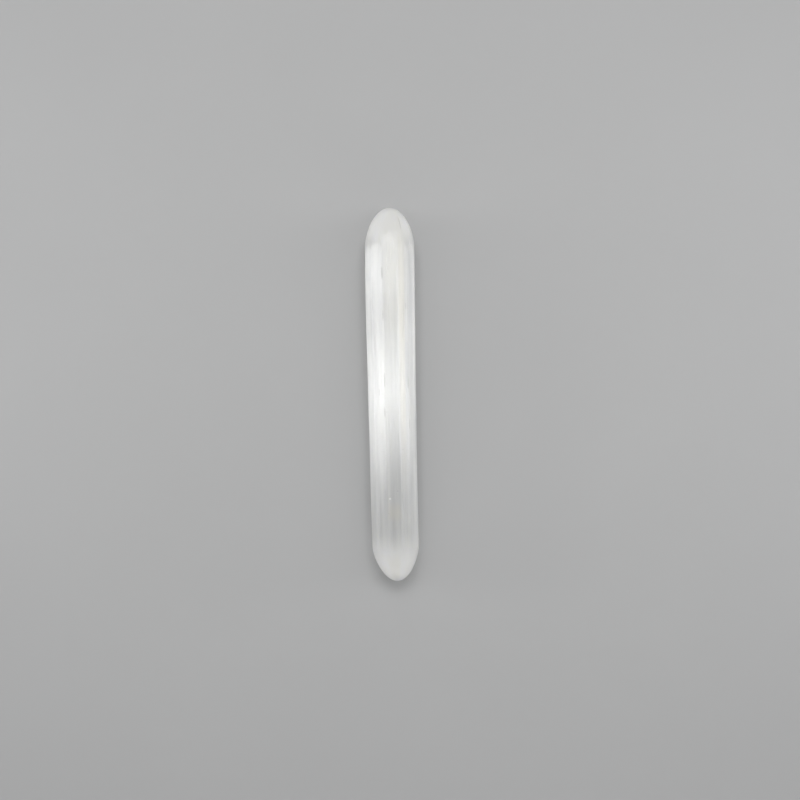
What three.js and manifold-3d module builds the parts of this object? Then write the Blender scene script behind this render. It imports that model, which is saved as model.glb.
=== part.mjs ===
// A polished selenite wand: one stick of satin spar, turned to a round bar with two rounded
// ends and then ground by hand, so that twelve long soft flats run along it. A few splits
// have opened along its fibres.
// Millimetres, +Z up. The wand lies on one of its flats with its broad end at +Y, and the
// origin is on the ground, under the middle of it.

import * as THREE from 'three';
import { mergeVertices } from 'three/addons/utils/BufferGeometryUtils.js';
import Module from 'manifold-3d';

// Driving dimensions
const LENGTH = 160;
const HEIGHT_TO_WIDTH = 0.96; // the stick is a little flatter than it is wide
const BROAD_END = { length: 20.2, power: 2 }; // power 2 rounds an end as an ellipse
const NARROW_END = { length: 16.1, power: 1.5 }; // and a lower one leaves it more pointed

// The bar before it is ground: places along Y, the radius there, and how far its middle has
// wandered to the side
const STATIONS = [
  { y: -80, radius: 10.18, side: 0.78 },
  { y: -73, radius: 10.2, side: 0.36 },
  { y: -63.9, radius: 10.22, side: 0.13 },
  { y: -50, radius: 10.26, side: 0 },
  { y: -34, radius: 10.29, side: -0.06 },
  { y: -18, radius: 10.34, side: -0.09 },
  { y: -4, radius: 10.47, side: -0.11 },
  { y: 9, radius: 10.59, side: -0.12 },
  { y: 21, radius: 10.7, side: -0.12 },
  { y: 34, radius: 10.85, side: -0.1 },
  { y: 48, radius: 10.93, side: -0.04 },
  { y: 59.8, radius: 10.9, side: 0.04 },
  { y: 70, radius: 10.9, side: 0.16 },
  { y: 80, radius: 10.9, side: 0.28 },
];

// The flats, in degrees round the bar from straight up towards +X: the way each one faces,
// and how much of the round bar it has taken away. The wand lies on the first.
const FLATS = [
  { facing: 180, spread: 33 },
  { facing: 212.5, spread: 25 },
  { facing: 241.5, spread: 28 },
  { facing: 271, spread: 26 },
  { facing: 299, spread: 25 },
  { facing: 328, spread: 28 },
  { facing: -0.8, spread: 31 },
  { facing: 29.5, spread: 26 },
  { facing: 57, spread: 26 },
  { facing: 86, spread: 27 },
  { facing: 116.5, spread: 29 },
  { facing: 147, spread: 26 },
];

// Splits along the fibres, and chips on the edges of the flats: each one's place along Y and
// its angle round the bar, and then its length, width and depth
const SPLITS = [
  { y: 51.3, angle: -18, length: 5.4, width: 0.5, depth: 0.34 },
  { y: 33, angle: -17.4, length: 4.2, width: 0.46, depth: 0.3 },
  { y: 5.4, angle: -16.4, length: 6.2, width: 0.46, depth: 0.3 },
  { y: 0.6, angle: -32, length: 3, width: 0.4, depth: 0.22 },
  { y: -8.2, angle: -17.6, length: 4.2, width: 0.7, depth: 0.3 },
  { y: 11, angle: 43.2, length: 62, width: 0.34, depth: 0.2 },
  { y: 37, angle: 38, length: 2.4, width: 0.6, depth: 0.26 },
  { y: 4.3, angle: 42.6, length: 4.6, width: 0.56, depth: 0.34 },
  { y: -8.6, angle: 43.9, length: 4.8, width: 0.6, depth: 0.3 },
  { y: -13, angle: 44.8, length: 4, width: 0.66, depth: 0.32 },
  { y: 72.6, angle: 32, length: 6, width: 0.42, depth: 0.24 },
  { y: -38, angle: 99, length: 7, width: 0.55, depth: 0.3 },
  { y: 24, angle: 131, length: 5, width: 0.5, depth: 0.28 },
  { y: 16, angle: 256, length: 8, width: 0.5, depth: 0.3 },
  { y: -47, angle: 227, length: 4.6, width: 0.6, depth: 0.3 },
  { y: 56, angle: 285, length: 3, width: 0.8, depth: 0.3 },
];

const BAR_SIDES = 60; // the roundness of the bar
const END_STEPS = 11; // sections on each rounded end
const SPLIT_SIDES = 8;
const SPLIT_RINGS = 6;
const CLEAR = 5; // how far a cutting shape reaches past the bar

const radians = THREE.MathUtils.degToRad;

// A station's radius or side, on the straight line between the two stations beside y
function along(name, y) {
  const last = STATIONS.length - 1;
  const beyond = STATIONS.findIndex((station) => station.y > y);
  const next = beyond < 0 ? last : Math.max(beyond, 1);
  const from = STATIONS[next - 1];
  const to = STATIONS[next];
  return THREE.MathUtils.mapLinear(y, from.y, to.y, from[name], to[name]);
}

// The round bar's radius, which runs out to nothing over each end
function barRadius(y) {
  const end = y > 0 ? BROAD_END : NARROW_END;
  const reach = Math.max(0, Math.abs(y) - (LENGTH / 2 - end.length)) / end.length;
  return along('radius', y) * Math.sqrt(1 - Math.min(1, reach) ** end.power);
}

// A flat's distance from the middle of the bar
function flatDistance(flat, y) {
  return along('radius', y) * Math.cos(radians(flat.spread / 2));
}

// The ground skin's distance from the middle of the bar, at an angle round it
function skinDistance(y, angle) {
  const reaches = FLATS.map((flat) => {
    const turn = Math.cos(radians(angle - flat.facing));
    return turn > 0 ? flatDistance(flat, y) / turn : Infinity;
  });
  return Math.min(barRadius(y), ...reaches);
}

// The places of an end's sections, closer together towards its tip
function endPlaces({ length, power }) {
  return Array.from({ length: END_STEPS - 1 }, (_, i) => {
    const quarterTurn = ((i + 1) / END_STEPS) * (Math.PI / 2);
    return LENGTH / 2 - length * (1 - Math.sin(quarterTurn) ** (2 / power));
  });
}

// The round bar with its two ends
function barGeometry() {
  const rod = STATIONS.map(({ y }) => y).filter((y) => barRadius(y) === along('radius', y));
  const places = [
    ...endPlaces(NARROW_END).map((y) => -y).reverse(),
    ...rod,
    ...endPlaces(BROAD_END),
  ];
  return new THREE.LatheGeometry([
    new THREE.Vector2(0, -LENGTH / 2),
    ...places.map((y) => new THREE.Vector2(barRadius(y), y)),
    new THREE.Vector2(0, LENGTH / 2),
  ], BAR_SIDES);
}

// What grinding takes away for one flat: everything outside it, with an inner face that
// follows the bar's taper
function groundAway(flat) {
  const outside = Math.max(...STATIONS.map(({ radius }) => radius)) + CLEAR;
  const first = -LENGTH / 2 - CLEAR;
  const last = LENGTH / 2 + CLEAR;
  const places = [first, ...STATIONS.slice(1, -1).map(({ y }) => y), last];
  const outline = new THREE.Shape([
    ...places.map((y) => new THREE.Vector2(flatDistance(flat, y), y)),
    new THREE.Vector2(outside, last),
    new THREE.Vector2(outside, first),
  ]);
  const geometry = new THREE.ExtrudeGeometry(outline, { depth: outside, bevelEnabled: false });
  geometry.translate(0, 0, -outside / 2);
  geometry.rotateY(radians(flat.facing - 90));
  return geometry;
}

// A split's hollow: a long thin ellipsoid that lies along the skin, half sunk into it
function splitGeometry({ y, angle, length, width, depth }) {
  const ahead = skinDistance(y + length / 2, angle);
  const behind = skinDistance(y - length / 2, angle);
  const geometry = new THREE.SphereGeometry(1, SPLIT_SIDES, SPLIT_RINGS);
  geometry.scale(width / 2, length / 2, depth);
  geometry.rotateX(Math.atan2(ahead - behind, length));
  geometry.translate(0, y, (ahead + behind) / 2);
  geometry.rotateY(radians(angle));
  return geometry;
}

const wasm = await Module();
wasm.setup();

// A solid that can be cut, from a closed geometry
function toSolid(geometry) {
  geometry.deleteAttribute('normal');
  geometry.deleteAttribute('uv');
  const merged = mergeVertices(geometry);
  return new wasm.Manifold(new wasm.Mesh({
    numProp: 3,
    vertProperties: new Float32Array(merged.getAttribute('position').array),
    triVerts: new Uint32Array(merged.getIndex().array),
  }));
}

function toGeometry(solid) {
  const { vertProperties, triVerts } = solid.getMesh();
  const geometry = new THREE.BufferGeometry();
  geometry.setAttribute('position', new THREE.BufferAttribute(vertProperties, 3));
  geometry.setIndex(new THREE.BufferAttribute(triVerts, 1));
  return geometry;
}

// The ground bar is flattened, bowed to the side, and laid on its first flat
function layDown(geometry) {
  const position = geometry.getAttribute('position');
  for (let i = 0; i < position.count; i += 1) {
    const y = position.getY(i);
    position.setX(i, position.getX(i) + along('side', y));
    position.setZ(i, (position.getZ(i) + flatDistance(FLATS[0], y)) * HEIGHT_TO_WIDTH);
  }
  geometry.computeBoundingBox();
  const middle = geometry.boundingBox.getCenter(new THREE.Vector3());
  geometry.translate(-middle.x, -middle.y, 0);
  geometry.computeVertexNormals();
  return geometry;
}

function wandGeometry() {
  const cuts = [...FLATS.map(groundAway), ...SPLITS.map(splitGeometry)];
  const solid = cuts.reduce((bar, cut) => bar.subtract(toSolid(cut)), toSolid(barGeometry()));
  return layDown(toGeometry(solid));
}

// Milky white satin spar, polished to a silky gloss
const selenite = new THREE.MeshStandardMaterial({ color: 0xeff0ec, roughness: 0.32, metalness: 0 });

const wand = new THREE.Mesh(wandGeometry(), selenite);
wand.name = 'wand';

const group = new THREE.Group();
group.add(wand);

export default group;
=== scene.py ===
"""The look of a polished selenite wand, and the pale table that it lies on.

The wand is one stick of satin spar. It is turned as a fine round bar, ground with the same
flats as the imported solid, given the solid's taper and bow, and then marked with what a real
stick shows: ripples along the fibres, splits, and chips on the edges of the flats.
Lengths are in metres. The wand lies along Y, with its broad end at +Y.
"""

import math

import bpy
import numpy as np
from mathutils import Matrix, Vector


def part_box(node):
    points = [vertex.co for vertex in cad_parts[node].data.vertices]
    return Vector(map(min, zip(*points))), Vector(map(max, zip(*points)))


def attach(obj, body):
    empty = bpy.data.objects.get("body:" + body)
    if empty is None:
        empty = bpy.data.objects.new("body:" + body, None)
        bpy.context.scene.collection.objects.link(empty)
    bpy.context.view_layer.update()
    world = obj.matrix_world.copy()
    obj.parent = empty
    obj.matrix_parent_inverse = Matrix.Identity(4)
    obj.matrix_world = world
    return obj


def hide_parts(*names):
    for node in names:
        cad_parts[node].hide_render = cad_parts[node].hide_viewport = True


bl_info = {
    "name": "Selenite Wand",
    "version": (1, 0, 0),
    "blender": (4, 5, 0),
    "location": "3D View > Sidebar > Selenite",
    "description": "Makes a polished satin spar wand and the pale table it lies on",
    "category": "Add Mesh",
}

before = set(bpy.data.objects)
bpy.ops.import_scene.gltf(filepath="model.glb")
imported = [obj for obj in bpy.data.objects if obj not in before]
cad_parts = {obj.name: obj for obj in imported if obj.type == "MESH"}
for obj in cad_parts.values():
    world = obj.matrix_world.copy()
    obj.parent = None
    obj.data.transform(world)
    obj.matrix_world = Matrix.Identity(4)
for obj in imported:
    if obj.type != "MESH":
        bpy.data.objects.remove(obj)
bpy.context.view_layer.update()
LOW, HIGH = (Vector(corner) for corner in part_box("wand"))
MM = 0.001
LENGTH = HIGH.y - LOW.y
RADIUS = (HIGH.x - LOW.x) / 2

# The flats, in degrees round the bar from straight up towards +X: the way each one faces,
# and how much of the round bar it has taken away. The wand lies on the first.
FLATS = (
    (180, 33), (212.5, 25), (241.5, 28), (271, 26), (299, 25), (328, 28),
    (-0.8, 31), (29.5, 26), (57, 26), (86, 27), (116.5, 29), (147, 26),
)

# The two edges between flats that were left crisp, in degrees round the bar
CRISP_EDGES = (-17.2, 43.4)
# How far to each side of them the stone is crisp in degrees, and how much a crisp edge is
# rubbed down, where any other edge is rubbed down by 1
CRISP_WIDTH = 5
CRISP_WEAR = 0.1
# Where closer columns of faces are cut beside them, and how far out faces are cut, in degrees
CLOSE_COLUMNS = (-1.3, -0.75, -0.25, 0.25, 0.75, 1.3)
COLUMN_REACH = 2.34

# Splits along the fibres, and chips on the edges of the flats: the place of each along Y in
# millimetres, its angle round the bar, and its length, width and depth in millimetres
SPLITS = (
    (51, -18, 5.6, 0.3, 0.34),
    (33, -17.4, 4.4, 0.28, 0.3),
    (5.4, -16.4, 6.2, 0.3, 0.3),
    (0.6, -32, 3, 0.28, 0.22),
    (-8.2, -17.6, 4.2, 0.4, 0.3),
    (11, 43.2, 62, 0.24, 0.16),
    (37, 38, 2.4, 0.36, 0.2),
    (4.3, 42.6, 4.6, 0.36, 0.34),
    (-8.6, 43.9, 4.8, 0.36, 0.3),
    (-13, 44.8, 4, 0.4, 0.32),
    (72.6, 32, 6, 0.3, 0.24),
    (-38, 99, 7, 0.4, 0.3),
    (24, 131, 5, 0.4, 0.28),
    (16, 256, 8, 0.4, 0.3),
    (-47, 227, 4.6, 0.4, 0.3),
    (56, 285, 3, 0.5, 0.3),
)
DEEPEST_SPLIT = max(depth for *_, depth in SPLITS)

# Faint cream stains in the stone, in the same order, with the amount of cream last. The one
# at the narrow tip is a painted warm glow of light through the tip.
STAINS_AND_TIP_GLOW = (
    (18, 27, 130, 3.4, 0.4),
    (50, 14, 70, 12, 0.22),
    (-50.5, 1, 9, 7, 0.45),
    # Painted glow: the warm light through the narrow tip
    (-74, -6, 12, 8, 0.3),
    (-25, 150, 60, 6, 0.5),
    (30, 232, 90, 5, 0.4),
)

# Bundles of fibres that are milkier than the rest, or clearer where the last number is
# below 0, in the same order. They are partly real bundles and partly painted sheen: the
# milkier ones paint bright sheen bands, and the clearer ones paint shade between them.
BUNDLES_AND_PAINTED_SHEEN = (
    (-2, -24, 56, 3, 0.4),
    (30, -36, 76, 7, -0.15),
    (-38, -34, 50, 8, -0.3),
    (-38, 24, 50, 5, -0.35),
    (30, -5, 84, 5.4, 0.35),
    (30, 9, 80, 3, 0.15),
    (2, 22, 60, 3.4, 0.25),
    (-46, 4, 64, 6, -0.35),
    (-38, 42, 52, 8, -0.5),
    (46, 46, 90, 7, -0.6),
    (2, 38, 46, 2, -0.5),
    (74, -34, 14, 7, -0.4),
    (-20, 120, 70, 6, -0.6),
    (20, 200, 60, 8, -0.6),
    (-30, 275, 80, 6, -0.5),
)

# Flecks on the skin: the place and the angle of each in the same order, its radius in
# millimetres, and whether it is a painted glint rather than a dark fleck
FLECKS = (
    # A painted glint: a white dot standing for a chip that catches the light
    (-44.7, -10, 0.62, True),
    (-49.6, -20, 0.3, False),
    (-50.9, -14, 0.34, False),
    (-41.5, 9, 0.28, False),
    (-8, -13, 0.32, False),
    (-24, 24, 0.28, False),
    (22, 76, 0.34, False),
    (-20, 140, 0.4, False),
    (8, 290, 0.36, False),
)

# The streaks in the stone: how wide each kind is in millimetres, how many times as long it
# is, how soft its edges are from 0 to 1, and how much milk it adds to the least there is
STREAKS = {
    "bundles": (2.6, 22, 0.35, 0.35),
    "strands": (0.9, 40, 0.5, 0.2),
    "fibres": (0.28, 90, 0.6, 0.2),
    "clouds": (9, 2.6, 0.5, 0.15),
}
LEAST_MILK = 0.2

# How strongly the marks tint the stone: the cream stains with the painted glow at the tip,
# the dark flecks, and the painted shade in the splits; and the colour of a painted glint
CREAM_STRENGTH = 0.8
SPLIT_SHADE_STRENGTH = 0.9
FLECK_STRENGTH = 0.35
GLINT_COLOUR = (1, 1, 1)

# Where the look of the rod gives way to that of the ends, in millimetres from the middle
ROD_LOOK_TO = 58
END_LOOK_FROM = 73

# The roughness of the polish, and how much duller it is on the strands and on the ends
POLISH = 0.29
STRAND_DULLNESS = 0.05
END_DULLNESS = 0.16

# How silky the ends are, and how much silkier the rod is
END_SILK = 0.06
ROD_SILK = 0.24

# The fine ridges: how high a fibre's is in millimetres, how many times that a strand's is,
# and the share of them that the ends have
RIDGE_HEIGHT = 0.09
STRAND_RIDGE = 2
END_RIDGE = 0.12

# Points of the turned bar that are closer than this are one point
WELD = 0.005 * MM

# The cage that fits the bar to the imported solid: how many slices it has along Y, how far
# inside the ends of the solid it is measured, and the small step aside that keeps every
# measured place between the solid's own points
CAGE_SLICES = 17
CAGE_INSET = 0.2 * MM
CAGE_ASIDE = CAGE_INSET / 7

# Where the photograph shows the wand, in its 800 pixel frame, and how far it leans there
PHOTO_SIZE = 800
PHOTO_MIDDLE = (392.3, 393.8)
PHOTO_LENGTH = 373.6
PHOTO_LEAN = math.radians(1.12)

# The side of the square table in metres, and the darkest share of its colour
TABLE_SIZE = 6
TABLE_MOTTLE = 0.96

# The nearest that the camera sees, in metres
CAMERA_NEAR = 0.01

# The distances between columns and between rows of nodes in the node editor
NODE_COLUMN = 220
NODE_ROW = -260

# The soft lamps: how far each leans from straight overhead towards +X in degrees, then in
# metres its distance, its place along Y, its level side and its slanting side, then how wide
# its light spreads in degrees, and its glow in watts a square metre. The high lamps light the
# broad end, which is the upper one in the photograph.
LAMPS = (
    ("left low lamp", -38, 0.45, 0.007, 0.05, 0.50, 180, 5.2),
    ("left high lamp", -52, 0.45, 0.105, 0.04, 0.46, 180, 10),
    ("right low lamp", 38, 0.45, 0.007, 0.05, 0.50, 180, 9),
    ("right high lamp", 52, 0.45, 0.105, 0.04, 0.46, 180, 8),
    ("left side lamp", -82, 0.9, 0.0193, 0.07, 0.28, 60, 5.2),
    ("right side lamp", 82, 0.9, 0.015, 0.07, 0.28, 60, 3.8),
    ("left high side lamp", -82, 0.9, 0.148, 0.085, 0.28, 60, 3.1),
    ("right high side lamp", 82, 0.9, 0.148, 0.085, 0.28, 60, 2.7),
    ("overhead lamp", 0, 0.85, 0.42, 0.60, 0.45, 180, 11.5),
    ("crown lamp", 0, 0.40, 1.10, 1.20, 0.45, 180, 0.9),
    ("tip lamp", 0, 0.36, -1.10, 2.00, 0.45, 180, 3.8),
)


class WandSettings(bpy.types.PropertyGroup):
    """The sizes and colours of the wand."""

    broad_end: bpy.props.FloatProperty(
        name="Broad End", description="How far the broad end's rounding reaches along the bar",
        default=20.2 * MM, unit="LENGTH")
    broad_power: bpy.props.FloatProperty(
        name="Broad End Power", description="2 rounds the broad end as an ellipse",
        default=2, min=1.2, max=3)
    narrow_end: bpy.props.FloatProperty(
        name="Narrow End", description="How far the narrow end's rounding reaches",
        default=16.1 * MM, unit="LENGTH")
    narrow_power: bpy.props.FloatProperty(
        name="Narrow End Power", description="A power under 2 leaves the end more pointed",
        default=1.5, min=1.2, max=3)
    sides: bpy.props.IntProperty(
        name="Sides", description="Columns of faces round the bar", default=340, min=24, max=400)
    rod_step: bpy.props.FloatProperty(
        name="Rod Step", description="Distance between rings of faces on the rod",
        default=0.85 * MM, unit="LENGTH")
    end_steps: bpy.props.IntProperty(
        name="End Steps", description="Rings of faces on each end", default=40, min=8, max=80)
    edge_softening: bpy.props.IntProperty(
        name="Edge Softening", description="How often the ground edges are smoothed",
        default=8, min=0, max=60)
    milk: bpy.props.FloatVectorProperty(
        name="Milk", description="Colour of the dense white fibre", subtype="COLOR",
        default=(0.86, 0.865, 0.85), min=0, max=1)
    clear: bpy.props.FloatVectorProperty(
        name="Clear", description="Colour of the clearer, greyer fibre", subtype="COLOR",
        default=(0.69, 0.695, 0.695), min=0, max=1)
    chalk: bpy.props.FloatVectorProperty(
        name="Chalk", description="Colour of the ends, where the fibres are cut across",
        subtype="COLOR", default=(0.925, 0.925, 0.91), min=0, max=1)
    # Also the colour of the painted warm glow at the narrow tip
    warm: bpy.props.FloatVectorProperty(
        name="Warm", description="Colour of the faint cream stain", subtype="COLOR",
        default=(0.80, 0.77, 0.68), min=0, max=1)
    # The colour of the dark flecks, and of the painted shade in the splits
    dirt_and_split_shade: bpy.props.FloatVectorProperty(
        name="Dirt", description="Colour inside the splits", subtype="COLOR",
        default=(0.25, 0.24, 0.22), min=0, max=1)


class StageSettings(bpy.types.PropertyGroup):
    """The table, the lights and the camera."""

    table_colour: bpy.props.FloatVectorProperty(
        name="Table", description="Colour of the table", subtype="COLOR",
        default=(0.555, 0.558, 0.56), min=0, max=1)
    fill: bpy.props.FloatProperty(
        name="Fill", description="Strength of the even light from all round", default=0.21,
        min=0, max=4)
    camera_distance: bpy.props.FloatProperty(
        name="Camera Distance", description="Distance from the camera to the wand",
        default=0.72, unit="LENGTH")
    camera_elevation: bpy.props.FloatProperty(
        name="Camera Elevation", description="How high the camera stands over the table",
        default=math.radians(88), subtype="ANGLE")


def deselect():
    """Nothing is selected, and no object is in edit mode."""
    if bpy.context.object and bpy.context.object.mode != "OBJECT":
        bpy.ops.object.mode_set(mode="OBJECT")
    bpy.ops.object.select_all(action="DESELECT")


def take_up(piece):
    """The piece alone is selected, and it is the active object."""
    deselect()
    piece.select_set(True)
    bpy.context.view_layer.objects.active = piece


def points(piece):
    """Every point of the piece, as rows of x, y and z. It is left in object mode."""
    if piece.mode != "OBJECT":
        bpy.ops.object.mode_set(mode="OBJECT")
    flat = np.empty(len(piece.data.vertices) * 3)
    piece.data.vertices.foreach_get("co", flat)
    return flat.reshape(-1, 3)


def pick(piece, chosen):
    """Selects these points of the piece, and goes to edit mode."""
    if piece.mode != "OBJECT":
        bpy.ops.object.mode_set(mode="OBJECT")
    mesh = piece.data
    mesh.edges.foreach_set("select", np.zeros(len(mesh.edges), bool))
    mesh.polygons.foreach_set("select", np.zeros(len(mesh.polygons), bool))
    mesh.vertices.foreach_set("select", chosen)
    bpy.ops.object.mode_set(mode="EDIT")


def angles(spots):
    """The angle round the bar of each spot, in degrees from straight up towards +X."""
    return np.degrees(np.arctan2(spots[:, 0], spots[:, 2]))


def apart(turns, angle):
    """How far each turn is from an angle, in degrees from -180 to 180."""
    return (turns - angle + 180) % 360 - 180


def finish_modifier(piece, kind, **values):
    """Adds a modifier with these values and applies it."""
    take_up(piece)
    bpy.ops.object.modifier_add(type=kind)
    modifier = piece.modifiers[-1]
    for name, value in values.items():
        setattr(modifier, name, value)
    bpy.ops.object.modifier_apply(modifier=modifier.name)


def weigh(piece, name, weights):
    """Adds a vertex group that holds these weights."""
    group = piece.vertex_groups.new(name=name)
    for index in np.flatnonzero(weights > 0):
        group.add([int(index)], float(weights[index]), "REPLACE")


def end_outline(radius, length, power, steps):
    """One rounded end's (radius, distance past the shoulder), from near the rod to the tip."""
    outline = []
    for step in range(1, steps):
        turn = step / steps * math.pi / 2
        outline.append((radius * math.cos(turn), length * math.sin(turn) ** (2 / power)))
    return outline + [(0, length)]


def bar_outline(sizes):
    """The bar's (radius, place along Y), from the tip of its narrow end to its broad tip."""
    narrow_shoulder = LOW.y + sizes.narrow_end
    broad_shoulder = HIGH.y - sizes.broad_end
    narrow = end_outline(RADIUS, sizes.narrow_end, sizes.narrow_power, sizes.end_steps)
    broad = end_outline(RADIUS, sizes.broad_end, sizes.broad_power, sizes.end_steps)
    steps = round((broad_shoulder - narrow_shoulder) / sizes.rod_step)
    rod = np.linspace(narrow_shoulder, broad_shoulder, steps + 1)
    return (
        [(radius, narrow_shoulder - past) for radius, past in reversed(narrow)]
        + [(RADIUS, place) for place in rod]
        + [(radius, broad_shoulder + past) for radius, past in broad]
    )


def turn_bar(sizes):
    """Turns the round bar: its outline is drawn point by point and spun round Y."""
    outline = bar_outline(sizes)
    deselect()
    bpy.ops.mesh.primitive_plane_add(size=MM, location=(0, outline[0][1], 0))
    bar = bpy.context.object
    bpy.ops.object.transform_apply(location=True, rotation=True, scale=True)
    bpy.ops.object.mode_set(mode="EDIT")
    bpy.ops.mesh.merge(type="CENTER")
    for (radius, place), (next_radius, next_place) in zip(outline, outline[1:]):
        step = (0, next_place - place, next_radius - radius)
        bpy.ops.mesh.extrude_vertices_move(TRANSFORM_OT_translate={"value": step})
    bpy.ops.mesh.select_all(action="SELECT")
    bpy.ops.mesh.spin(
        steps=sizes.sides, angle=2 * math.pi, center=(0, 0, 0), axis=(0, 1, 0))
    bpy.ops.mesh.select_all(action="SELECT")
    bpy.ops.mesh.remove_doubles(threshold=WELD)
    bpy.ops.mesh.normals_make_consistent(inside=False)
    return bar


def add_columns(bar, sizes):
    """Cuts closer columns of faces beside the crisp edges, where the splits are."""
    for edge in CRISP_EDGES:
        for beside in CLOSE_COLUMNS:
            spots = points(bar)
            near = np.abs(apart(angles(spots), edge)) < COLUMN_REACH
            on_rod = np.abs(spots[:, 1]) < LENGTH / 2 - sizes.broad_end
            pick(bar, near & on_rod)
            turn = math.radians(edge + beside)
            bpy.ops.mesh.bisect(
                plane_co=(0, 0, 0), plane_no=(math.cos(turn), 0, -math.sin(turn)))


def turn_round(bar, degrees):
    """Turns the whole bar round Y, so that what faced that many degrees now faces up."""
    pick(bar, np.ones(len(bar.data.vertices), bool))
    bpy.ops.transform.rotate(
        value=math.radians(degrees), orient_axis="Y", center_override=(0, 0, 0))


def grind(bar):
    """Grinds the flats: the bar is turned until each flat faces up, and is then cut level."""
    turned = 0
    for facing, spread in FLATS:
        turn_round(bar, facing - turned)
        turned = facing
        level = RADIUS * math.cos(math.radians(spread / 2))
        pick(bar, points(bar)[:, 2] > level)
        bpy.ops.transform.resize(value=(1, 1, 0), center_override=(0, 0, level))
    turn_round(bar, -turned)


def soften_edges(bar, sizes):
    """Rubs down the edges between the flats, and the crisp ones less than the others."""
    turns = angles(points(bar))
    weights = np.ones(len(turns))
    for edge in CRISP_EDGES:
        beside = np.clip(np.abs(apart(turns, edge)) / CRISP_WIDTH, 0, 1)
        weights = np.minimum(weights, CRISP_WEAR + (1 - CRISP_WEAR) * beside)
    weigh(bar, "soft", weights)
    finish_modifier(
        bar, "SMOOTH", factor=0.5, iterations=sizes.edge_softening, vertex_group="soft")


def section(place):
    """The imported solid's lowest and highest (x, z) where it is cut at a place along Y."""
    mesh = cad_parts["wand"].data
    ends = np.array([edge.vertices[:] for edge in mesh.edges])
    spots = np.array([point.co[:] for point in mesh.vertices])
    start, end = spots[ends[:, 0]], spots[ends[:, 1]]
    crossing = (start[:, 1] - place) * (end[:, 1] - place) < 0
    start, end = start[crossing], end[crossing]
    share = (place - start[:, 1]) / (end[:, 1] - start[:, 1])
    cut = start + share[:, None] * (end - start)
    return cut[:, (0, 2)].min(axis=0), cut[:, (0, 2)].max(axis=0)


def fit_to_solid(bar, sizes):
    """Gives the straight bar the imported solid's taper, bow and height with a lattice."""
    spots = points(bar)
    rod = spots[np.abs(spots[:, 1]) < LENGTH / 2 - sizes.broad_end]
    bar_low, bar_high = rod[:, (0, 2)].min(axis=0), rod[:, (0, 2)].max(axis=0)
    bar_middle = (bar_low[0] + bar_high[0]) / 2
    deselect()
    bpy.ops.object.add(type="LATTICE", location=(0, 0, 0))
    cage = bpy.context.object
    cage.scale = (2 * RADIUS, LENGTH, 2 * RADIUS)
    cage.data.points_u, cage.data.points_v, cage.data.points_w = 2, CAGE_SLICES, 2
    cage.data.interpolation_type_u = "KEY_LINEAR"
    cage.data.interpolation_type_v = "KEY_LINEAR"
    cage.data.interpolation_type_w = "KEY_LINEAR"
    first, last = LOW.y + CAGE_INSET, HIGH.y - CAGE_INSET
    for point in cage.data.points:
        x, y, z = point.co.x * 2 * RADIUS, point.co.y * LENGTH, point.co.z * 2 * RADIUS
        on_rod = min(max(y, first + sizes.narrow_end), last - sizes.broad_end)
        low, high = section(on_rod + CAGE_ASIDE)
        inside = min(max(y, first), last)
        middle = sum(side[0] for side in section(inside + CAGE_ASIDE)) / 2
        share = (high - low) / (bar_high - bar_low)
        new_x = middle + (x - bar_middle) * share[0]
        new_z = low[1] + (z - bar_low[1]) * share[1]
        point.co_deform = (new_x / (2 * RADIUS), y / LENGTH, new_z / (2 * RADIUS))
    bpy.context.view_layer.update()
    finish_modifier(bar, "LATTICE", object=cage)
    bpy.data.objects.remove(cage)


def off_centre(turns, places, spot):
    """How far points are from a spot, across and along it, as shares of its half sizes."""
    place, angle, length, width, _ = spot
    across = np.abs(np.radians(apart(turns, angle))) * RADIUS / MM / (width / 2)
    along = np.abs(places / MM - place) / (length / 2)
    return across, along


def split_depths(turns, places):
    """How deep each point lies in a split, in millimetres: a V across, and round along."""
    depths = np.zeros(len(turns))
    for split in SPLITS:
        across, along = off_centre(turns, places, split)
        shape = np.clip(1 - across, 0, 1) * np.sqrt(np.clip(1 - along ** 2, 0, 1))
        depths = np.maximum(depths, shape * split[-1])
    return depths


def patch_amounts(turns, places, patches):
    """How much of the patches each point has. Their sides are firm, and their ends fade."""
    amounts = np.zeros(len(turns))
    for patch in patches:
        across, along = off_centre(turns, places, patch)
        amounts += np.clip(1 - across ** 4, 0, 1) * np.clip(1 - along ** 2, 0, 1) * patch[-1]
    return amounts


def keep(bar, name, values):
    """Keeps a value for each point of the bar, for its material to read."""
    kept = bar.data.attributes.new(name=name, type="FLOAT", domain="POINT")
    kept.data.foreach_set("value", values)


def open_splits(bar, turns, places):
    """Sinks the splits and chips into the skin, and keeps their depth for the painted shade in
    them.
    """
    depths = split_depths(turns, places)
    weigh(bar, "sunk", depths / DEEPEST_SPLIT)
    finish_modifier(
        bar, "DISPLACE", direction="NORMAL", strength=-DEEPEST_SPLIT * MM, mid_level=0,
        vertex_group="sunk")
    # The depth is kept to paint shade into the splits, darker where they are deeper
    keep(bar, "split", depths / DEEPEST_SPLIT)


def ripple(bar, name, width, stretch, depth):
    """Sinks shallow ripples into the skin, of this width in millimetres, drawn out along Y."""
    texture = bpy.data.textures.new(name, "CLOUDS")
    texture.noise_basis = "IMPROVED_PERLIN"
    texture.noise_scale = 1
    texture.noise_depth = 1
    deselect()
    bpy.ops.object.empty_add(type="PLAIN_AXES", location=(0, 0, 0))
    grain = bpy.context.object
    grain.scale = (width * MM, width * stretch * MM, width * MM)
    bpy.context.view_layer.update()
    finish_modifier(
        bar, "DISPLACE", texture=texture, texture_coords="OBJECT",
        texture_coords_object=grain, direction="NORMAL", strength=depth * MM, mid_level=1)
    bpy.data.objects.remove(grain)


def rest_on_table(bar):
    """Presses what has sunk under the table level back up to it."""
    pick(bar, points(bar)[:, 2] < LOW.z)
    bpy.ops.transform.resize(value=(1, 1, 0), center_override=(0, 0, LOW.z))
    bpy.ops.object.mode_set(mode="OBJECT")


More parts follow.
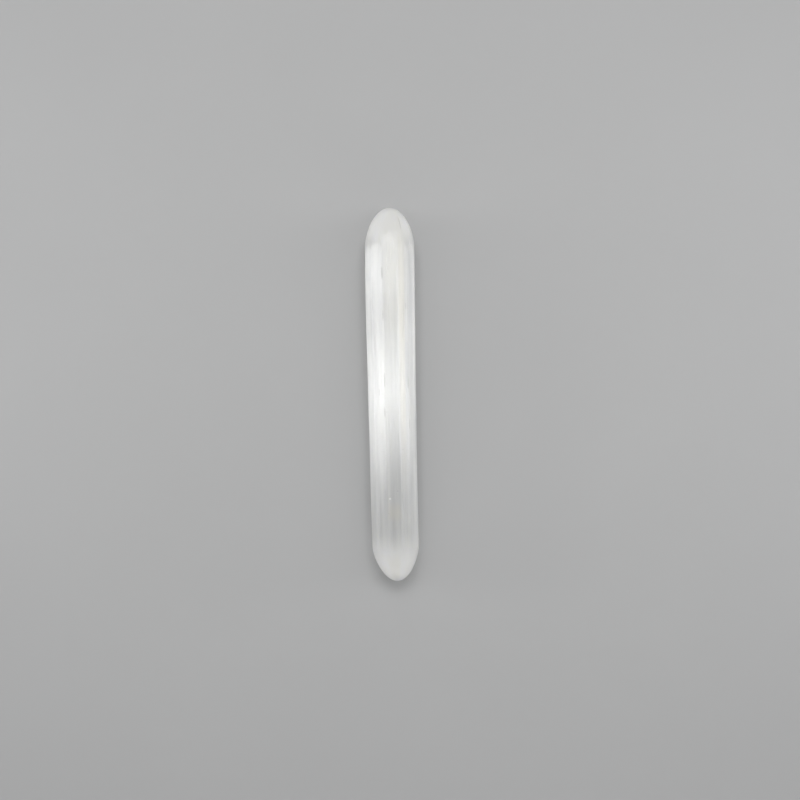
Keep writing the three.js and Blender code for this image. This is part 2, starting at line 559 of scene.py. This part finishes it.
def model_wand(sizes):
    """The whole stick, from the turned bar to its last chip."""
    bar = turn_bar(sizes)
    add_columns(bar, sizes)
    grind(bar)
    spots = points(bar)
    turns, places = angles(spots), spots[:, 1]
    soften_edges(bar, sizes)
    fit_to_solid(bar, sizes)
    ripple(bar, "Grinding", width=9, stretch=3, depth=0.05)
    ripple(bar, "Bundles", width=1.5, stretch=30, depth=0.02)
    open_splits(bar, turns, places)
    # The cream stains, and the painted warm glow at the narrow tip
    keep(bar, "stain_and_tip_glow", patch_amounts(turns, places, STAINS_AND_TIP_GLOW))
    # The bundles: partly real fibre tone, partly painted sheen bands and shade
    keep(bar, "bundle_and_painted_sheen", patch_amounts(turns, places, BUNDLES_AND_PAINTED_SHEEN))
    rest_on_table(bar)
    bar.name = "selenite_wand"
    take_up(bar)
    bpy.ops.object.shade_smooth()
    return bar


def add_socket(group, name, kind, way, default=None):
    """Adds one named input or output to a node group."""
    made = group.interface.new_socket(name=name, in_out=way, socket_type=kind)
    if default is not None:
        made.default_value = default


def feed(tree, value, target):
    """Gives an input an output to read, or else a plain number, place or colour."""
    if isinstance(value, bpy.types.NodeSocket):
        tree.links.new(value, target)
    elif target.type == "RGBA":
        target.default_value = (*value, 1)
    else:
        target.default_value = value


def add_node(tree, kind, place, inputs=None, **settings):
    """A node with these inputs and settings, at a place in the node editor."""
    node = tree.nodes.new(kind)
    node.location = (place[0] * NODE_COLUMN, place[1] * NODE_ROW)
    for name, value in settings.items():
        setattr(node, name, value)
    for name, value in (inputs or {}).items():
        feed(tree, value, node.inputs[name])
    return node


def calculate(tree, place, operation, *amounts):
    """The result of a sum on amounts, each a number or an output."""
    return add_node(
        tree, "ShaderNodeMath", place, dict(enumerate(amounts)), operation=operation).outputs[0]


def blend(tree, place, share, first, second):
    """The mix of two colours, each a colour or an output, by an amount or an output."""
    node = add_node(tree, "ShaderNodeMix", place, data_type="RGBA", clamp_factor=True)
    for value, name in ((share, "Factor"), (first, "A"), (second, "B")):
        feed(tree, value, next(s for s in node.inputs if s.name == name and s.enabled))
    return next(s for s in node.outputs if s.enabled)


def kept_value(tree, place, name):
    """The value that was kept under this name for each point of the wand."""
    return add_node(tree, "ShaderNodeAttribute", place, attribute_name=name).outputs["Fac"]


def smooth_step(tree, place, value, low, high):
    """0 where the value is low, 1 where it is high, and a smooth step in between."""
    inputs = {"Value": value, "From Min": low, "From Max": high}
    step = add_node(tree, "ShaderNodeMapRange", place, inputs, interpolation_type="SMOOTHSTEP")
    return step.outputs["Result"]


def fibre_group():
    """Streaks along Y: how wide, how long and how hard-edged they are is set where it is used."""
    tree = bpy.data.node_groups.new("Fibre Streaks", "ShaderNodeTree")
    add_socket(tree, "Place", "NodeSocketVector", "INPUT")
    add_socket(tree, "Width", "NodeSocketFloat", "INPUT", 0.001)
    add_socket(tree, "Stretch", "NodeSocketFloat", "INPUT", 30.0)
    add_socket(tree, "Softness", "NodeSocketFloat", "INPUT", 0.5)
    add_socket(tree, "Amount", "NodeSocketFloat", "OUTPUT")
    given = add_node(tree, "NodeGroupInput", (0, 0)).outputs
    shorter = calculate(tree, (1, 1), "DIVIDE", 1, given["Stretch"])
    finer = calculate(tree, (1, 2), "DIVIDE", 1, given["Width"])
    shorten = add_node(tree, "ShaderNodeCombineXYZ", (2, 1), {"X": 1, "Y": shorter, "Z": 1})
    drawn = add_node(
        tree, "ShaderNodeVectorMath", (3, 0), {0: given["Place"], 1: shorten.outputs[0]},
        operation="MULTIPLY")
    sized = add_node(
        tree, "ShaderNodeVectorMath", (4, 0), {0: drawn.outputs[0], "Scale": finer},
        operation="SCALE")
    noise = add_node(
        tree, "ShaderNodeTexNoise", (5, 0), {"Vector": sized.outputs[0], "Scale": 1, "Detail": 2})
    half = calculate(tree, (4, 1), "MULTIPLY", given["Softness"], 0.5)
    low = calculate(tree, (5, 1), "SUBTRACT", 0.5, half)
    high = calculate(tree, (5, 2), "ADD", 0.5, half)
    amount = smooth_step(tree, (6, 0), noise.outputs["Fac"], low, high)
    add_node(tree, "NodeGroupOutput", (7, 0), {"Amount": amount})
    return tree


def stone_grain(tree, coordinates):
    """The amount of each kind of streak, by its name."""
    group = fibre_group()
    grain = {}
    for row, (name, (width, stretch, softness, _)) in enumerate(STREAKS.items()):
        inputs = {
            "Place": coordinates, "Width": width * MM, "Stretch": stretch, "Softness": softness}
        node = add_node(tree, "ShaderNodeGroup", (1, row), inputs, node_tree=group)
        grain[name] = node.outputs["Amount"]
    return grain


def fleck_place(place, angle):
    """A point on the skin, from its place along Y and its angle round the bar."""
    low, high = section(place * MM)
    middle, half = (low + high) / 2, (high - low) / 2
    turn = math.radians(angle)
    return (middle[0] + half[0] * math.sin(turn), place * MM, middle[1] + half[1] * math.cos(turn))


def flecks(tree, column, coordinates, glints):
    """The mask of every painted glint, or of every dark fleck: soft dots on the skin."""
    total = 0
    for place, angle, radius, is_glint in FLECKS:
        if is_glint == glints:
            column += 1
            away = add_node(
                tree, "ShaderNodeVectorMath", (column, 7),
                {0: coordinates, 1: fleck_place(place, angle)}, operation="DISTANCE")
            dot = smooth_step(
                tree, (column, 8), away.outputs["Value"], radius * MM, radius * MM / 3)
            total = calculate(tree, (column, 9), "MAXIMUM", dot, total)
    return total


def rod_mask(tree, coordinates):
    """1 on the rod, and 0 on the rounded ends, where the fibres are cut across."""
    parts = add_node(tree, "ShaderNodeSeparateXYZ", (1, 6), {0: coordinates})
    reach = calculate(tree, (2, 6), "ABSOLUTE", parts.outputs["Y"])
    return smooth_step(tree, (3, 6), reach, END_LOOK_FROM * MM, ROD_LOOK_TO * MM)


def tinted(tree, column, colour, mask, strength, tint):
    """The colour, with a tint laid over it at this strength where the mask is."""
    share = calculate(tree, (column, 1), "MULTIPLY", mask, strength)
    return blend(tree, (column, 0), share, colour, tint)


def stone_colour(tree, coordinates, grain, ends, settings):
    """Milky and clearer fibre with painted sheen, chalky ends, cream stains, a painted tip glow,
    dark flecks, painted split shade, and painted glints.
    """
    milk_and_painted_sheen = LEAST_MILK
    for column, (name, (_, _, _, milk)) in enumerate(STREAKS.items(), start=2):
        milk_and_painted_sheen = calculate(tree, (column, 0), "MULTIPLY_ADD", grain[name], milk, milk_and_painted_sheen)
    # Adds the bundles, which are partly painted sheen and shade
    milk_and_painted_sheen = calculate(tree, (6, 0), "ADD", milk_and_painted_sheen, kept_value(tree, (5, 1), "bundle_and_painted_sheen"))
    colour = blend(tree, (7, 0), milk_and_painted_sheen, settings.clear, settings.milk)
    colour = blend(tree, (8, 0), ends, colour, settings.chalk)
    # Cream stains, and a painted warm glow at the narrow tip
    stain_and_tip_glow = kept_value(tree, (8, 2), "stain_and_tip_glow")
    colour = tinted(tree, 9, colour, stain_and_tip_glow, CREAM_STRENGTH, settings.warm)
    dark = flecks(tree, 2, coordinates, False)
    colour = tinted(tree, 10, colour, dark, FLECK_STRENGTH, settings.dirt_and_split_shade)
    # Painted shade in the splits, darker where they are deeper
    split = kept_value(tree, (10, 2), "split")
    colour = tinted(tree, 11, colour, split, SPLIT_SHADE_STRENGTH, settings.dirt_and_split_shade)
    # Painted glints: white dots laid over the colour
    return blend(tree, (12, 0), flecks(tree, 11, coordinates, True), colour, GLINT_COLOUR)


def stone_roughness(tree, grain, ends):
    """The polish, which is duller on the strands and on the ends."""
    rough = calculate(tree, (6, 3), "MULTIPLY_ADD", grain["strands"], STRAND_DULLNESS, POLISH)
    return calculate(tree, (7, 3), "MULTIPLY_ADD", ends, END_DULLNESS, rough)


def stone_relief(tree, grain, rod):
    """The fine ridges of fibres and strands, which are fainter on the ends."""
    ridges = calculate(
        tree, (6, 4), "MULTIPLY_ADD", grain["strands"], STRAND_RIDGE, grain["fibres"])
    share = calculate(tree, (6, 5), "MULTIPLY_ADD", rod, 1 - END_RIDGE, END_RIDGE)
    height = calculate(tree, (7, 4), "MULTIPLY", ridges, share)
    inputs = {"Height": height, "Strength": 1, "Distance": RIDGE_HEIGHT * MM}
    return add_node(tree, "ShaderNodeBump", (8, 4), inputs).outputs["Normal"]


def selenite_material(settings):
    """Milky satin spar: fibre bundles partly painted as sheen, clearer streaks, painted glints, a
    silky sheen across the fibres.
    """
    material = bpy.data.materials.new("Satin Spar")
    material.use_nodes = True
    tree = material.node_tree
    tree.nodes.clear()
    coordinates = add_node(tree, "ShaderNodeTexCoord", (0, 0)).outputs["Object"]
    grain = stone_grain(tree, coordinates)
    rod = rod_mask(tree, coordinates)
    ends = calculate(tree, (4, 6), "SUBTRACT", 1, rod)
    along = add_node(tree, "ShaderNodeTangent", (12, 3), direction_type="RADIAL", axis="Y")
    shader = add_node(tree, "ShaderNodeBsdfPrincipled", (13, 0), {
        "Base Color": stone_colour(tree, coordinates, grain, ends, settings),
        "Roughness": stone_roughness(tree, grain, ends),
        "Metallic": calculate(tree, (7, 5), "MULTIPLY_ADD", rod, ROD_SILK, END_SILK),
        "Normal": stone_relief(tree, grain, rod),
        "Tangent": along.outputs[0],
        "IOR": 1.53,
        "Anisotropic": 1,
        "Subsurface Weight": 0.8,
        "Subsurface Radius": (1, 1, 0.9),
        "Subsurface Scale": 4 * MM,
        "Coat Weight": 0.15,
        "Coat Roughness": 0.2,
        "Sheen Weight": 0.15,
        "Sheen Roughness": 0.3,
    })
    add_node(tree, "ShaderNodeOutputMaterial", (14, 0), {"Surface": shader.outputs[0]})
    return material


def table_material(settings):
    """Pale matt board with a faint mottle."""
    material = bpy.data.materials.new("Pale Board")
    material.use_nodes = True
    tree = material.node_tree
    coordinates = add_node(tree, "ShaderNodeTexCoord", (-3, 0)).outputs["Object"]
    inputs = {"Vector": coordinates, "Scale": 14, "Detail": 4}
    mottle = add_node(tree, "ShaderNodeTexNoise", (-2, 0), inputs).outputs["Fac"]
    darker = [part * TABLE_MOTTLE for part in settings.table_colour]
    colour = blend(tree, (-1, 0), mottle, darker, settings.table_colour)
    shader = tree.nodes["Principled BSDF"]
    feed(tree, colour, shader.inputs["Base Color"])
    feed(tree, 0.85, shader.inputs["Roughness"])
    return material


def aim(thing, target, roll=0.0):
    """Turns a camera or a lamp to look at the target, rolled about its line of sight."""
    line = Vector(target) - thing.location
    turn = line.to_track_quat("-Z", "Y").to_matrix() @ Matrix.Rotation(roll, 3, "Z")
    thing.rotation_euler = turn.to_euler()


def add_lamp(name, lean, distance, place, level, slant, spread, glow):
    """A soft rectangular lamp that leans over the wand, and that the camera doesn't see."""
    lean = math.radians(lean)
    middle = Vector((0, 0, HIGH.z / 2))
    out = Vector((math.sin(lean), 0, math.cos(lean))) * distance
    out.y = place
    deselect()
    bpy.ops.object.light_add(type="AREA", location=middle + out)
    lamp = bpy.context.object
    lamp.name = name
    lamp.data.shape = "RECTANGLE"
    lamp.data.size, lamp.data.size_y = level, slant
    lamp.data.spread = math.radians(spread)
    lamp.data.energy = glow * level * slant
    lamp.visible_camera = False
    aim(lamp, middle)


def add_table(settings):
    """The pale table, level with the lowest of the wand."""
    deselect()
    bpy.ops.mesh.primitive_plane_add(size=TABLE_SIZE, location=(0, 0, LOW.z))
    table = bpy.context.object
    table.name = "table"
    table.data.materials.append(table_material(settings))


def add_fill(settings):
    """An even white light from all round."""
    world = bpy.data.worlds.new("Fill")
    world.use_nodes = True
    world.node_tree.nodes["Background"].inputs["Strength"].default_value = settings.fill
    world.node_tree.nodes["Background"].inputs["Color"].default_value = (1, 1, 1, 1)
    bpy.context.scene.world = world


def add_camera(settings):
    """The camera looks down on the wand, which lies where the photograph shows it standing."""
    pixel = LENGTH / PHOTO_LENGTH
    middle = Vector((0, 0, (LOW.z + HIGH.z) / 2))
    off = Vector((PHOTO_SIZE / 2 - PHOTO_MIDDLE[0], PHOTO_MIDDLE[1] - PHOTO_SIZE / 2)) * pixel
    target = middle + (Matrix.Rotation(-PHOTO_LEAN, 2) @ off).to_3d()
    back = Vector((0, -math.cos(settings.camera_elevation), math.sin(settings.camera_elevation)))
    deselect()
    bpy.ops.object.camera_add(location=target + back * settings.camera_distance)
    camera = bpy.context.object
    camera.name = "camera"
    aim(camera, target, -PHOTO_LEAN)
    camera.data.lens = camera.data.sensor_width * settings.camera_distance / (PHOTO_SIZE * pixel)
    camera.data.clip_start = CAMERA_NEAR
    bpy.context.scene.camera = camera


class SELENITE_OT_add_wand(bpy.types.Operator):
    """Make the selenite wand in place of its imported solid"""

    bl_idname = "selenite.add_wand"
    bl_label = "Add Wand"

    def execute(self, context):
        settings = context.scene.selenite_wand
        wand = model_wand(settings)
        wand.data.materials.append(selenite_material(settings))
        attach(wand, "root")
        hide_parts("wand")
        return {"FINISHED"}


class SELENITE_OT_add_stage(bpy.types.Operator):
    """Make the pale table, the soft lamps and the camera"""

    bl_idname = "selenite.add_stage"
    bl_label = "Add Stage"

    def execute(self, context):
        settings = context.scene.selenite_stage
        add_table(settings)
        for lamp in LAMPS:
            add_lamp(*lamp)
        add_fill(settings)
        context.scene.view_settings.view_transform = "Standard"
        add_camera(settings)
        return {"FINISHED"}


class SELENITE_PT_panel(bpy.types.Panel):
    """The wand's sizes and colours, and the stage's lights"""

    bl_idname = "SELENITE_PT_panel"
    bl_label = "Selenite Wand"
    bl_space_type = "VIEW_3D"
    bl_region_type = "UI"
    bl_category = "Selenite"

    def draw(self, context):
        for settings, operator in (
            (context.scene.selenite_wand, SELENITE_OT_add_wand),
            (context.scene.selenite_stage, SELENITE_OT_add_stage),
        ):
            box = self.layout.box()
            for name in settings.__annotations__:
                box.prop(settings, name)
            box.operator(operator.bl_idname)


CLASSES = (
    WandSettings, StageSettings, SELENITE_OT_add_wand, SELENITE_OT_add_stage, SELENITE_PT_panel)


def register():
    """Makes the classes and their settings known."""
    for made in CLASSES:
        bpy.utils.register_class(made)
    bpy.types.Scene.selenite_wand = bpy.props.PointerProperty(type=WandSettings)
    bpy.types.Scene.selenite_stage = bpy.props.PointerProperty(type=StageSettings)


def unregister():
    """Takes the classes and their settings away again."""
    del bpy.types.Scene.selenite_stage
    del bpy.types.Scene.selenite_wand
    for made in reversed(CLASSES):
        bpy.utils.unregister_class(made)


def main():
    """Makes the wand and its stage."""
    register()
    bpy.ops.selenite.add_wand()
    bpy.ops.selenite.add_stage()


if __name__ == "__main__":
    main()
